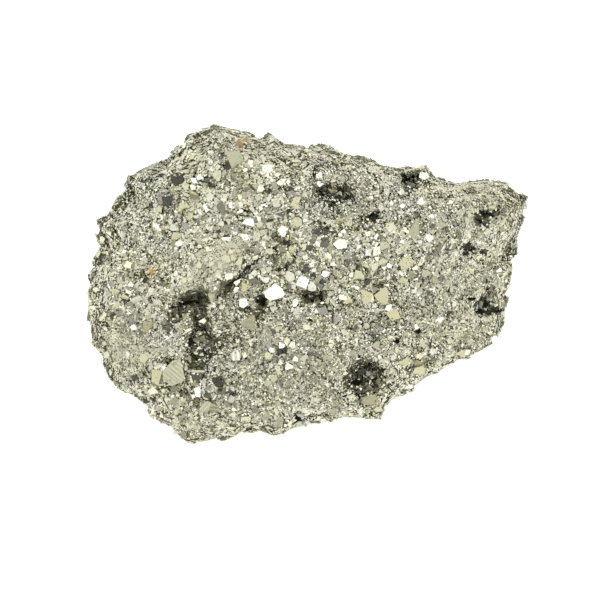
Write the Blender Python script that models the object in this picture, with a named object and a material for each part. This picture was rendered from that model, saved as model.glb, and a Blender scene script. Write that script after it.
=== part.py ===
"""Pyrite specimen: a hand-sized lump of crystals that grew together, lying on its back.

The lump is one solid.  Its broad crystal face leans back and looks up towards the front, so a
place on it is given in the plane of that face: "across" to the right and "up" along its slope,
from the middle of the face.  Every length is in metres, written as millimetres times MM.
"""
import math
import random

import bmesh
import bpy
import numpy as np
from mathutils import Matrix, Vector, noise
from mathutils.bvhtree import BVHTree

MM = 0.001

# The plane of the broad face: its outward normal rises this far above the ground.
FACE_RISE = math.radians(58.0)
ACROSS = Vector((1.0, 0.0, 0.0))
UP = Vector((0.0, math.sin(FACE_RISE), math.cos(FACE_RISE)))
OUT = Vector((0.0, -math.cos(FACE_RISE), math.sin(FACE_RISE)))
CENTRE_HEIGHT = 21.0 * MM

# The outline of the lump, seen square to the broad face: across, up (mm), anticlockwise.
OUTLINE = [
    (47.2, 0.2), (49.0, 1.8), (49.2, 3.3), (49.0, 5.2), (49.9, 7.2), (50.6, 10.8),
    (52.3, 15.6), (53.9, 17.8), (53.7, 19.7), (48.7, 21.6), (46.7, 24.2), (43.5, 24.1),
    (39.6, 23.0), (37.6, 23.3), (32.5, 24.1), (31.9, 25.0), (28.5, 27.5), (24.8, 26.9),
    (19.2, 26.9), (17.1, 29.8), (14.6, 29.7), (10.9, 30.3), (7.7, 31.6), (3.4, 33.2),
    (1.2, 33.2), (-1.2, 32.7), (-3.6, 32.7), (-4.6, 33.1), (-6.5, 35.4), (-8.9, 34.6),
    (-9.6, 34.7), (-10.3, 33.9), (-11.8, 35.7), (-15.8, 35.9), (-21.4, 37.8), (-23.7, 34.8),
    (-26.9, 34.2), (-27.9, 33.1), (-28.4, 31.3), (-31.1, 30.1), (-33.3, 27.9), (-35.6, 27.2),
    (-36.5, 26.2), (-40.1, 25.0), (-41.3, 23.6), (-39.8, 20.9), (-43.0, 18.8), (-44.3, 16.1),
    (-47.9, 13.7), (-48.5, 12.5), (-47.0, 9.8), (-46.6, 6.5), (-48.3, 4.2), (-48.7, -0.5),
    (-49.0, -6.5), (-49.4, -8.7), (-48.1, -10.4), (-47.7, -13.6), (-46.2, -16.1),
    (-44.0, -21.4), (-40.5, -25.5), (-36.3, -26.0), (-35.2, -27.9), (-32.3, -30.9),
    (-27.4, -35.1), (-24.7, -37.2), (-20.6, -35.7), (-17.6, -36.2), (-14.2, -34.6),
    (-9.0, -33.9), (-3.4, -34.9), (-1.0, -33.0), (1.1, -33.0), (3.2, -31.8), (5.0, -32.1),
    (8.3, -30.8), (10.6, -31.1), (12.4, -30.4), (14.8, -31.3), (18.4, -31.7), (19.6, -29.4),
    (19.8, -26.8), (23.5, -25.8), (25.3, -24.2), (27.0, -22.7), (29.3, -21.7), (35.0, -18.1),
    (42.4, -15.0), (44.5, -12.8), (46.6, -9.4), (47.5, -6.2), (49.0, -2.9),
]

# The fracture planes that bound the lump: azimuth and rise of the normal (degrees, azimuth 0
# along +X, 90 along +Y), and the distance from the middle of the lump (mm).
FRACTURES = {
    "broad face": (-90, 58, 13.0),
    "face, left part": (-124, 52, 16.5),
    "face, right part": (-52, 56, 17.5),
    "upper back": (94, 42, 24.5),
    "upper back, left": (142, 34, 33.0),
    "upper back, right": (38, 36, 32.0),
    "back": (82, -4, 30.5),
    "back, left": (128, -14, 34.0),
    "back, right": (34, -8, 39.0),
    "left end": (186, 6, 47.0),
    "left end, under": (196, -34, 36.0),
    "right end, under": (-12, -30, 38.0),
    "front, under": (-86, -40, 28.0),
    "underside": (0, -90, 22.0),
}
EDGE_SHARPNESS = 9.0
# The lump is fitted to its outline in this many sectors.
OUTLINE_SECTORS = 120

# Blocks of crystals that stand proud or lie back: block size and relief (mm), tilt of their tops.
BLOCK_LAYERS = [(13.0, 0.6, 0.13), (6.0, 0.35, 0.18), (3.1, 0.22, 0.24)]
SWELL_SIZE = 24.0
SWELL_HEIGHT = 1.3

# The raised ledge: its lower right edge is a crack, given as across, up (mm).
CRACK = [(-8.5, 8.0), (-11.2, 4.4), (-14.6, 1.4), (-18.0, -1.6), (-23.5, -2.9), (-27.5, -5.4),
         (-30.2, -10.0)]
LEDGE_HEIGHT = 2.8
LEDGE_REACH = 10.0
CRACK_DEPTH = 2.6
CRACK_WIDTH = 1.3
# The share of the crack's length over which it fades in and out.
CRACK_END = 0.12

# Relief fades out over this height above the rim (mm), so that the rim does not fold.
RIM_FADE = 10.0

# A pit's wall reaches this share of its half width in from its outline, and as far out.
PIT_LIP = 0.26
# Vugs and pits in the broad face: across, up, half width, half height, turn (degrees), depth (mm).
PITS = {
    "upper vug": (7.6, 19.8, 4.6, 2.2, -8, 5.0),
    "round pit": (24.8, 23.0, 2.2, 2.0, 0, 4.0),
    "middle pit": (16.5, 15.2, 1.7, 1.5, -30, 3.0),
    "hollow left of it": (13.6, 13.6, 3.2, 2.6, 0, 1.2),
    "right pit": (43.0, 15.7, 3.2, 1.8, 10, 3.2),
    "small right pit": (38.2, 8.1, 1.6, 1.7, 0, 2.2),
    "right vug": (42.5, -4.5, 2.8, 4.2, -35, 5.0),
    "largest vug": (14.0, -22.0, 3.8, 5.0, -38, 6.0),
    "pit under the pale crystals": (3.2, -3.3, 3.4, 1.7, -8, 3.2),
    "pocket beside them": (-8.4, -4.3, 1.5, 1.6, 0, 2.6),
    "crack pocket": (-24.4, -3.2, 3.4, 1.8, 22, 4.0),
    "crack pocket, low": (-28.4, -6.0, 2.6, 1.5, 42, 3.2),
    "dark pocket": (-22.3, -7.8, 1.9, 3.6, 0, 3.6),
    "dark pocket, middle": (-22.6, -14.0, 4.0, 3.6, 40, 4.2),
    "dark pocket, low": (-22.6, -18.0, 2.6, 2.2, 0, 2.6),
    "lower pit": (-0.2, -30.4, 1.8, 1.7, 30, 2.6),
    "left pit": (-37.6, -21.5, 2.2, 1.2, 10, 1.6),
    "hollow at the lower left": (-18.0, -20.6, 2.6, 1.8, 0, 1.4),
}

# The larger crystals on the broad face: across, up, width (mm).
PALE_CRYSTALS = [
    (-6.2, -1.6, 3.8), (0.7, 0.7, 2.6), (9.1, 9.1, 2.8), (-3.9, 12.1, 2.5), (-7.3, 26.2, 3.1),
    (-11.8, 13.9, 2.2), (-32.6, 13.2, 2.0), (-14.6, -16.4, 2.6), (-23.0, -24.8, 2.3),
    (-12.8, -4.3, 2.1), (28.2, 24.6, 2.3), (4.3, 24.0, 1.8), (-33.0, -29.0, 2.0),
    (38.5, -15.4, 2.1), (-2.5, -18.7, 1.8), (5.9, 2.3, 1.9), (12.3, 5.0, 2.3), (-8.0, 1.0, 2.0),
    (20.4, -5.2, 2.1), (-1.6, -13.9, 1.8), (24.7, -23.2, 2.0), (30.3, -15.5, 1.8),
]
YELLOW_CRYSTALS = [
    (18.8, -2.9, 4.3), (15.5, -2.3, 3.3), (21.4, -6.6, 3.0), (13.5, 1.8, 2.5), (-0.9, 14.1, 2.8),
    (26.2, 12.8, 4.1), (24.2, 4.8, 3.4), (23.3, 0.9, 2.3), (19.4, 8.7, 2.1), (-28.2, 10.9, 2.2),
    (-26.4, 17.8, 2.1), (-1.4, 17.8, 2.2), (23.5, -17.8, 2.6), (27.1, -20.0, 3.0),
    (36.9, -16.0, 2.5), (16.2, -26.4, 3.9), (-41.6, -2.6, 2.5), (-39.9, -3.6, 2.1),
    (7.1, 21.9, 2.0), (-7.3, -16.4, 2.1), (-12.3, -30.8, 2.3), (-27.8, -29.4, 2.1),
    (-1.8, 7.7, 2.3), (-22.8, 7.1, 2.1),
]
DARK_CRYSTALS = [
    (-27.8, 23.7, 3.1), (-30.2, 19.0, 2.6), (-16.4, 26.9, 2.0), (-18.9, -22.3, 2.5),
    (-21.2, -24.8, 1.8), (-4.8, -15.3, 1.8), (-42.8, -7.3, 2.0), (5.9, 9.3, 2.1),
    (-11.8, -8.9, 3.8), (-2.1, 21.0, 2.3), (17.3, -13.9, 2.1), (3.6, 12.0, 1.8),
]
# Three large crystals that show more than one face: across, up, width (mm), the tilt of their
# front face, the bearing that it leans towards, and the spin about its normal (degrees).
CORNER_CRYSTALS = {
    "cube with its edge out": (-28.9, -20.2, 5.2, 38, 15, 14),
    "cube beside it": (-23.3, -21.4, 3.6, 9, 260, 89),
    "pyramid below them": (-20.0, -28.2, 4.6, 40, 75, 20),
}

# How far each kind of crystal leans off the plane of the broad face, and towards which bearing
# (degrees, anticlockwise from "across").
PALE_TILT = (16.0, 60.0)
YELLOW_TILT = (14.0, 250.0)
DARK_TILT = (4.0, 20.0)
TILT_SPREAD = 3.0
BEARING_SPREAD = 20.0

# Crystals scattered over every side: how many, their widths (mm), the lowest place above the
# ground (mm), how freely they lean, the share left off the broad face, and the room between
# two of them as a share of their widths together.
SMALL_CRYSTALS = 60
SMALL_WIDTHS = (2.2, 4.4)
SMALL_LOWEST = 3.0
SMALL_LEAN = 0.45
SMALL_OFF_FACE = 0.92
FACE_LIKENESS = 0.6
# They stay inside this share of the outline's radius, so that the rim keeps its drawn line.
SMALL_REACH = 0.92
SMALL_ROOM = 0.62
# How far a crystal's front face stands proud, as a share of its width.
PROUD = 0.12
CRYSTAL_SEED = 11

# A distance that is outside the lump from its middle in every direction.
FAR_OUT = 100.0 * MM
GROUND_SIZE = 0.3

SPHERE_DETAIL = 7
SPHERE_STRETCH = (1.6, 1.15, 0.85)
SPHERE_TRIANGLES = 20 * 4 ** (SPHERE_DETAIL - 1)
LUMP_TRIANGLES = 4200


def smooth(values):
    """Ease from 0 to 1, flat at both ends."""
    held = np.clip(values, 0.0, 1.0)
    return held * held * (3.0 - 2.0 * held)


def direction(azimuth, rise):
    """The unit vector with an azimuth and a rise in degrees."""
    turn, lift = math.radians(azimuth), math.radians(rise)
    return np.array((math.cos(turn) * math.cos(lift), math.sin(turn) * math.cos(lift),
                     math.sin(lift)))


def outline_radius(bearings):
    """How far the outline is from the middle of the broad face at each bearing (radians)."""
    points = np.array(OUTLINE) * MM
    turns = np.arctan2(points[:, 1], points[:, 0])
    order = np.argsort(turns)
    return np.interp(bearings, turns[order], np.hypot(points[:, 0], points[:, 1])[order],
                     period=2.0 * math.pi)


def in_face_plane(points):
    """Across, up and out of world points, measured from the middle of the lump."""
    local = points - np.array((0.0, 0.0, CENTRE_HEIGHT))
    return local @ np.array(ACROSS), local @ np.array(UP), local @ np.array(OUT)


def on_face(across, up, out=0.0):
    """The world point at a place in the plane of the broad face."""
    return Vector((0.0, 0.0, CENTRE_HEIGHT)) + across * ACROSS + up * UP + out * OUT


def lump_form(directions):
    """Points of the bare lump: the fracture planes and the outline's wall, their edges worn."""
    across, up, _out = (directions @ np.array(axis) for axis in (ACROSS, UP, OUT))
    wall = np.hypot(across, up) / outline_radius(np.arctan2(up, across))
    nearness = wall ** EDGE_SHARPNESS
    for azimuth, rise, distance in FRACTURES.values():
        facing = np.clip(directions @ direction(azimuth, rise), 0.0, None)
        nearness += (facing / (distance * MM)) ** EDGE_SHARPNESS
    reach = nearness ** (-1.0 / EDGE_SHARPNESS)
    return directions * reach[:, None] + np.array((0.0, 0.0, CENTRE_HEIGHT))


def block_height(point, size, relief, tilt):
    """Height of the flat-topped block that a point is in; each block has its own lean."""
    feature = noise.voronoi(point / size)[1][0]
    lean = noise.cell_vector(feature * 7.31) * 2.0 - Vector((1.0, 1.0, 1.0))
    return relief * lean.x + tilt * (point - feature * size).dot(lean)


def roughen(mesh):
    """Raise and sink the blocks of crystals along the surface's normals."""
    mesh.normal_update()
    heights = []
    for vert in mesh.verts:
        point = vert.co / MM
        height = SWELL_HEIGHT * noise.noise(point / SWELL_SIZE)
        for size, relief, tilt in BLOCK_LAYERS:
            height += block_height(point, size, relief, tilt)
        heights.append(height * MM)
    for vert, height in zip(mesh.verts, heights):
        vert.co += vert.normal * height


def fit_to_outline(mesh):
    """Stretch the lump in the plane of the broad face until its outline is the drawn one."""
    points = np.array([vert.co for vert in mesh.verts])
    across, up, _out = in_face_plane(points)
    bearings = np.arctan2(up, across)
    radii = np.hypot(across, up)
    sectors = np.linspace(-math.pi, math.pi, OUTLINE_SECTORS + 1)
    middles = 0.5 * (sectors[1:] + sectors[:-1])
    sector_of = np.clip(np.searchsorted(sectors, bearings) - 1, 0, len(middles) - 1)
    reached = np.array([radii[sector_of == index].max() for index in range(len(middles))])
    factors = np.interp(bearings, middles, outline_radius(middles) / reached,
                        period=2.0 * math.pi)
    stretch = (factors - 1.0)[:, None]
    moves = stretch * (np.outer(across, np.array(ACROSS)) + np.outer(up, np.array(UP)))
    for vert, move in zip(mesh.verts, moves):
        vert.co += Vector(move)


def crack_offset(across, up):
    """Distance to the crack (mm), positive above it, and how far along it (0 to 1)."""
    nearest = np.full(across.shape, 1e9)
    side = np.ones(across.shape)
    along = np.zeros(across.shape)
    for index, (start, end) in enumerate(zip(CRACK, CRACK[1:])):
        run = np.array(end) - np.array(start)
        off_x, off_y = across - start[0], up - start[1]
        part = np.clip((off_x * run[0] + off_y * run[1]) / run.dot(run), 0.0, 1.0)
        distance = np.hypot(off_x - part * run[0], off_y - part * run[1])
        closer = distance < nearest
        nearest = np.where(closer, distance, nearest)
        side = np.where(closer, np.sign(run[1] * off_x - run[0] * off_y), side)
        along = np.where(closer, (index + part) / (len(CRACK) - 1), along)
    return nearest * side, along


def face_relief(across, up):
    """Height of the broad face's ledge, crack and pits at places in its plane (mm)."""
    offset, along = crack_offset(across, up)
    ends = smooth(along / CRACK_END) * smooth((1.0 - along) / CRACK_END)
    height = LEDGE_HEIGHT * ends * np.exp(-np.abs(offset) / LEDGE_REACH) * smooth(offset + 0.5)
    height -= CRACK_DEPTH * ends * np.exp(-((offset + 0.5 * CRACK_WIDTH) / CRACK_WIDTH) ** 2)
    for centre_x, centre_y, half_w, half_h, turn, depth in PITS.values():
        cosine, sine = math.cos(math.radians(turn)), math.sin(math.radians(turn))
        off_x, off_y = across - centre_x, up - centre_y
        reach = np.hypot((off_x * cosine + off_y * sine) / half_w,
                         (off_y * cosine - off_x * sine) / half_h)
        height -= depth * smooth((1.0 + PIT_LIP - reach) / (2.0 * PIT_LIP))
    return height


def carve_face(mesh):
    """Sink the pits and raise the ledge, square to the broad face."""
    points = np.array([vert.co for vert in mesh.verts])
    across, up, out = in_face_plane(points)
    facing = smooth(out / (RIM_FADE * MM))
    heights = face_relief(across / MM, up / MM) * facing * MM
    for vert, height in zip(mesh.verts, heights.tolist()):
        vert.co += height * OUT


def make_lump():
    """The bare lump, thinned to the triangles that its shape needs."""
    mesh = bmesh.new()
    bmesh.ops.create_icosphere(mesh, subdivisions=SPHERE_DETAIL, radius=1.0)
    directions = np.array([vert.co for vert in mesh.verts]) * SPHERE_STRETCH
    directions /= np.linalg.norm(directions, axis=1)[:, None]
    for vert, place in zip(mesh.verts, lump_form(directions)):
        vert.co = place
    roughen(mesh)
    fit_to_outline(mesh)
    carve_face(mesh)
    data = bpy.data.meshes.new("pyrite")
    mesh.to_mesh(data)
    mesh.free()
    lump = bpy.data.objects.new("pyrite", data)
    thin = lump.modifiers.new("Thin", "DECIMATE")
    thin.ratio = LUMP_TRIANGLES / SPHERE_TRIANGLES
    return lump


def cube_points(cut):
    """Corners of a unit cube whose corners are cut back by a share of its edge."""
    points = []
    for corner in np.ndindex(2, 2, 2):
        place = np.array(corner) - 0.5
        for axis in range(3):
            moved = place.copy()
            moved[axis] *= 1.0 - 2.0 * cut
            points.append(moved)
    return points


def pyritohedron_points():
    """Corners of a pyritohedron with one five-sided face up."""
    spread = 0.5
    points = [np.array(corner) * 2.0 - 1.0 for corner in np.ndindex(2, 2, 2)]
    for axis in range(3):
        for long_end in (-1.0, 1.0):
            for short_end in (-1.0, 1.0):
                place = np.zeros(3)
                place[axis] = long_end * (1.0 + spread)
                place[(axis + 1) % 3] = short_end * (1.0 - spread * spread)
                points.append(place)
    face_normal = Vector((1.0, 0.0, 2.0)).normalized()
    upright = np.array(face_normal.rotation_difference(Vector((0.0, 0.0, 1.0))).to_matrix())
    turned = np.array(points) @ upright.T
    return list(turned * 0.5 / turned[:, 2].max())


CUBE = cube_points(0.06)
HABITS = [cube_points(0.2), pyritohedron_points(), cube_points(0.1)]


def add_crystal(mesh, habit, width, place, facing, spin):
    """One crystal with a face up at a place, looking along "facing"."""
    turn = Vector((0.0, 0.0, 1.0)).rotation_difference(facing).to_matrix()
    turn = turn @ Matrix.Rotation(spin, 3, "Z")
    centre = place + facing * width * (PROUD - 0.5)
    verts = [mesh.verts.new(centre + turn @ Vector(point) * width) for point in habit]
    hull = bmesh.ops.convex_hull(mesh, input=verts)
    unused = [item for item in hull["geom_interior"] if isinstance(item, bmesh.types.BMVert)]
    bmesh.ops.delete(mesh, geom=unused, context="VERTS")


def leaning(tilt, bearing):
    """The normal that leans off the broad face by a tilt, towards a bearing (degrees)."""
    lean, turn = math.radians(tilt), math.radians(bearing)
    sideways = math.cos(turn) * ACROSS + math.sin(turn) * UP
    return (math.cos(lean) * OUT + math.sin(lean) * sideways).normalized()


def add_face_crystals(mesh, surface, draw):
    """The larger crystals of the broad face, each at its own place; their places and widths."""
    placed = []
    groups = [(PALE_CRYSTALS, PALE_TILT), (YELLOW_CRYSTALS, YELLOW_TILT),
              (DARK_CRYSTALS, DARK_TILT)]
    for crystals, (tilt, bearing) in groups:
        for index, (across, up, width) in enumerate(crystals):
            place = surface.ray_cast(on_face(across * MM, up * MM, FAR_OUT), -OUT)[0]
            facing = leaning(tilt + draw.uniform(-TILT_SPREAD, TILT_SPREAD),
                             bearing + draw.uniform(-BEARING_SPREAD, BEARING_SPREAD))
            habit = HABITS[index % len(HABITS)]
            add_crystal(mesh, habit, width * MM, place, facing, draw.uniform(0.0, math.tau))
            placed.append((place, width * MM))
    for across, up, width, tilt, bearing, spin in CORNER_CRYSTALS.values():
        place = surface.ray_cast(on_face(across * MM, up * MM, FAR_OUT), -OUT)[0]
        add_crystal(mesh, CUBE, width * MM, place, leaning(tilt, bearing), math.radians(spin))
        placed.append((place, width * MM))
    return placed


def stands_clear(place, width, others):
    """Whether a crystal at a place would be free of the crystals already there."""
    return all((place - other).length > SMALL_ROOM * (width + its_width)
               for other, its_width in others)


def near_outline(place):
    """Whether a place is close to the lump's outline, seen square to the broad face."""
    across, up, _out = in_face_plane(np.array([place]))
    reach = SMALL_REACH * outline_radius(np.arctan2(up, across))
    return np.hypot(across, up)[0] > reach[0]


def add_small_crystals(mesh, surface, draw, others):
    """Crystals scattered over every side of the lump, clear of each other and of the others."""
    added = 0
    while added < SMALL_CRYSTALS:
        ray = Vector((draw.gauss(0.0, 1.0), draw.gauss(0.0, 1.0), draw.gauss(0.0, 1.0)))
        start = Vector((0.0, 0.0, CENTRE_HEIGHT)) + ray.normalized() * FAR_OUT
        place, normal, _face, _distance = surface.ray_cast(start, -ray.normalized())
        on_broad_face = normal.dot(OUT) > FACE_LIKENESS
        if place.z < SMALL_LOWEST * MM or near_outline(place):
            continue
        if on_broad_face and draw.random() < SMALL_OFF_FACE:
            continue
        lean = Vector((draw.uniform(-1.0, 1.0), draw.uniform(-1.0, 1.0), draw.uniform(-1.0, 1.0)))
        facing = (normal + SMALL_LEAN * lean).normalized()
        width = draw.uniform(*SMALL_WIDTHS) * MM
        if not stands_clear(place, width, others):
            continue
        add_crystal(mesh, HABITS[added % len(HABITS)], width, place, facing,
                    draw.uniform(0.0, math.tau))
        others.append((place, width))
        added += 1


def make_crystals(lump_mesh):
    """All crystals that are large enough to tell apart, each sunk into the lump."""
    source = bmesh.new()
    source.from_mesh(lump_mesh)
    surface = BVHTree.FromBMesh(source)
    draw = random.Random(CRYSTAL_SEED)
    mesh = bmesh.new()
    others = add_face_crystals(mesh, surface, draw)
    add_small_crystals(mesh, surface, draw, others)
    bmesh.ops.dissolve_limit(mesh, angle_limit=math.radians(0.5), verts=mesh.verts[:],
                             edges=mesh.edges[:])
    data = bpy.data.meshes.new("crystals")
    mesh.to_mesh(data)
    mesh.free()
    source.free()
    return bpy.data.objects.new("crystals", data)


def make_ground():
    """The block that cuts the underside flat."""
    bpy.ops.mesh.primitive_cube_add(size=GROUND_SIZE, location=(0.0, 0.0, -GROUND_SIZE / 2.0))
    ground = bpy.context.object
    ground.name = "ground"
    return ground


def as_guide(thing, collection):
    """Keep a cutter or an added form out of sight, in its own collection."""
    for holder in thing.users_collection:
        holder.objects.unlink(thing)
    collection.objects.link(thing)
    thing.hide_render = True
    thing.display_type = "WIRE"


def boolean(thing, other, operation):
    """Join to, or cut from, a thing."""
    step = thing.modifiers.new(operation.title(), "BOOLEAN")
    step.object = other
    step.operation = operation
    step.solver = "EXACT"
    step.use_self = operation == "UNION"


def pyrite_material():
    """Pale brassy metal."""
    material = bpy.data.materials.new("pyrite")
    material.use_nodes = True
    shader = material.node_tree.nodes["Principled BSDF"]
    shader.inputs["Base Color"].default_value = (0.66, 0.65, 0.50, 1.0)
    shader.inputs["Metallic"].default_value = 1.0
    shader.inputs["Roughness"].default_value = 0.3
    return material


def world_points(thing):
    """Every corner of a thing as its modifiers leave it."""
    shown = thing.evaluated_get(bpy.context.evaluated_depsgraph_get())
    return np.array([thing.matrix_world @ vert.co for vert in shown.data.vertices])


def main():
    """Build the specimen and stand its middle over the origin."""
    for thing in list(bpy.data.objects):
        bpy.data.objects.remove(thing, do_unlink=True)
    specimen = bpy.data.collections.new("pyrite specimen")
    guides = bpy.data.collections.new("guides")
    bpy.context.scene.collection.children.link(specimen)
    bpy.context.scene.collection.children.link(guides)

    lump = make_lump()
    specimen.objects.link(lump)
    lump.data.materials.append(pyrite_material())
    shown = lump.evaluated_get(bpy.context.evaluated_depsgraph_get())
    thinned = bpy.data.meshes.new_from_object(shown)
    crystals = make_crystals(thinned)
    bpy.data.meshes.remove(thinned)
    as_guide(crystals, guides)
    ground = make_ground()
    as_guide(ground, guides)
    boolean(lump, crystals, "UNION")
    boolean(lump, ground, "DIFFERENCE")

    points = world_points(lump)
    middle = 0.5 * (points.min(axis=0) + points.max(axis=0))
    stand = bpy.data.objects.new("stand", None)
    specimen.objects.link(stand)
    stand.location = (-middle[0], -middle[1], 0.0)
    lump.parent = stand
    crystals.parent = stand


main()
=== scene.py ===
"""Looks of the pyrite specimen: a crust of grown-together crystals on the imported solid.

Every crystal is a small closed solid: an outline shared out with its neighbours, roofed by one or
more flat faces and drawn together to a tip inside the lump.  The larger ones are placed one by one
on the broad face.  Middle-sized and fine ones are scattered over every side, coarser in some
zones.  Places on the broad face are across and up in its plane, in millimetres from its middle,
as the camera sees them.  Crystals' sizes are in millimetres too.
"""
import math

import bmesh
import bpy
import numpy as np
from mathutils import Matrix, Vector, kdtree, noise
from mathutils.bvhtree import BVHTree


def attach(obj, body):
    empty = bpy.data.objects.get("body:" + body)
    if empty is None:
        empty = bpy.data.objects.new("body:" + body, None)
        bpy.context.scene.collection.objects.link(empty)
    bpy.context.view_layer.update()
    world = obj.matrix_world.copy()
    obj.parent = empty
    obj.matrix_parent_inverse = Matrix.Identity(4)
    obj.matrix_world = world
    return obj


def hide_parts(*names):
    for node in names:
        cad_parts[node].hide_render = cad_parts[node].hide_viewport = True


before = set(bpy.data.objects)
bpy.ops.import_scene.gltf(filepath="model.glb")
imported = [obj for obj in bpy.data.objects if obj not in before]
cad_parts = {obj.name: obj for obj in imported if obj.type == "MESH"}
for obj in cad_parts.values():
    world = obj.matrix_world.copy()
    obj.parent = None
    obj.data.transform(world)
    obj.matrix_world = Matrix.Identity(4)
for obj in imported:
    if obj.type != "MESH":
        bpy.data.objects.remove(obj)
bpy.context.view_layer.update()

MM = 0.001
SEED = 20

# The plane of the broad face, as the solid has it.
FACE_RISE = math.radians(58.0)
ACROSS = np.array((1.0, 0.0, 0.0))
UP = np.array((0.0, math.sin(FACE_RISE), math.cos(FACE_RISE)))
OUT = np.array((0.0, -math.cos(FACE_RISE), math.sin(FACE_RISE)))
FACE_MIDDLE = np.array((-1.7, -2.3, 20.8)) * MM

# The camera looks square at the broad face.  The picture is this wide at the face, and its
# middle is this far below the middle of the face.
CAMERA_DISTANCE = 0.5
PICTURE_WIDTH = 136.7 * MM
PICTURE_DROP = -3.65 * MM
SENSOR_WIDTH = 36.0
VIEW_POINT = FACE_MIDDLE + PICTURE_DROP * UP + CAMERA_DISTANCE * OUT
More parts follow.
